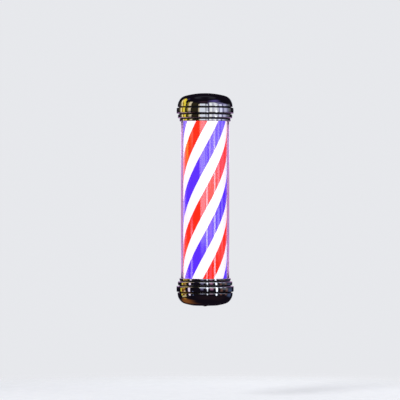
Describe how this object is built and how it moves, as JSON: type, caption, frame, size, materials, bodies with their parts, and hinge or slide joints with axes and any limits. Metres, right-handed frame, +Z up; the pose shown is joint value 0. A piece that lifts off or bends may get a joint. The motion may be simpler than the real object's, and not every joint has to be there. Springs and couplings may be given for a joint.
{
  "type": "barber pole",
  "caption": "Wall-hung lit barber pole: a clear tube between two domed chromed caps, with a geared drum striped red, white and blue turning inside.",
  "frame": {"origin": "on the wall plane, on the back face of the strap, halfway up the pole", "axes": "+Z up along the pole, +Y into the wall, so the pole's front faces -Y; +X to the right as seen from the front"},
  "size_m": [0.1776, 0.2088, 0.6594],
  "materials": {
    "chrome": "bright chromed, spun",
    "strap_paint": "satin black powder coat",
    "zinc": "zinc plated",
    "plate_steel": "galvanised",
    "clear_acrylic": "clear, polished",
    "black_rubber": "matt",
    "white_acetal": "moulded",
    "gear_acetal": "moulded",
    "core_aluminium": "extruded",
    "board_white": "white solder mask",
    "lamp_chip": "lit",
    "driver_plastic": "moulded",
    "terminal_plastic": "moulded",
    "motor_can": "zinc plated can",
    "shaft_steel": "ground",
    "switch_black": "moulded",
    "rocker_red": "moulded",
    "drum_white": "translucent, lit from inside",
    "film_red": "translucent, lit from inside",
    "film_blue": "translucent, lit from inside",
    "seam_tape": "clear tape"
  },
  "bodies": {
    "housing": {"rear_bracket": "strap_paint", "bracket_bolts": "zinc", "bracket_nuts": "zinc", "bottom_cap": "chrome", "top_cap": "chrome", "top_cap_screw": "zinc", "bottom_cap_nut": "chrome", "cable_grommet": "black_rubber", "outer_tube": "clear_acrylic", "bottom_gasket": "black_rubber", "top_gasket": "black_rubber", "bottom_plate": "plate_steel", "top_plate": "plate_steel", "centre_post": "zinc", "post_nuts": "zinc", "post_washers": "zinc", "lower_bush": "white_acetal", "upper_bush": "white_acetal", "lamp_core": "core_aluminium", "lower_core_holder": "white_acetal", "upper_core_holder": "white_acetal", "lamp_board_front": "board_white", "lamp_board_right": "board_white", "lamp_board_back": "board_white", "lamp_board_left": "board_white", "lamp_chips": "lamp_chip", "lamp_driver": "driver_plastic", "terminal_block": "terminal_plastic", "fixing_screws": "zinc", "motor_body": "motor_can", "light_switch": "switch_black", "motor_switch": "switch_black"},
    "drum": {"drum_sheet": "drum_white", "red_stripes": "film_red", "blue_stripes": "film_blue", "seam_strip": "seam_tape", "lower_wheel": "white_acetal", "upper_wheel": "white_acetal", "drum_gear": "gear_acetal", "gear_screws": "zinc"},
    "motor_output": {"motor_shaft": "shaft_steel", "pinion": "gear_acetal"},
    "light_button": {"light_rocker": "rocker_red"},
    "motor_button": {"motor_rocker": "rocker_red"}
  },
  "joints": [
    {"name": "drum_spin", "type": "hinge", "parent": "housing", "child": "drum", "pos_m": [0, -0.12, -0.2512], "axis": [0, 0, 1], "continuous": true},
    {"name": "pinion_spin", "type": "hinge", "parent": "housing", "child": "motor_output", "pos_m": [0.05, -0.12, -0.256], "axis": [0, 0, 1], "continuous": true},
    {"name": "light_rocker_tilt", "type": "hinge", "parent": "housing", "child": "light_button", "pos_m": [0.019, -0.126, -0.3212], "axis": [1, 0, 0], "range_deg": [0, 22]},
    {"name": "motor_rocker_tilt", "type": "hinge", "parent": "housing", "child": "motor_button", "pos_m": [-0.019, -0.126, -0.3212], "axis": [1, 0, 0], "range_deg": [0, 22]}
  ],
  "couplings": [
    {"joint": "pinion_spin", "follows": "drum_spin", "ratio": -4}
  ]
}
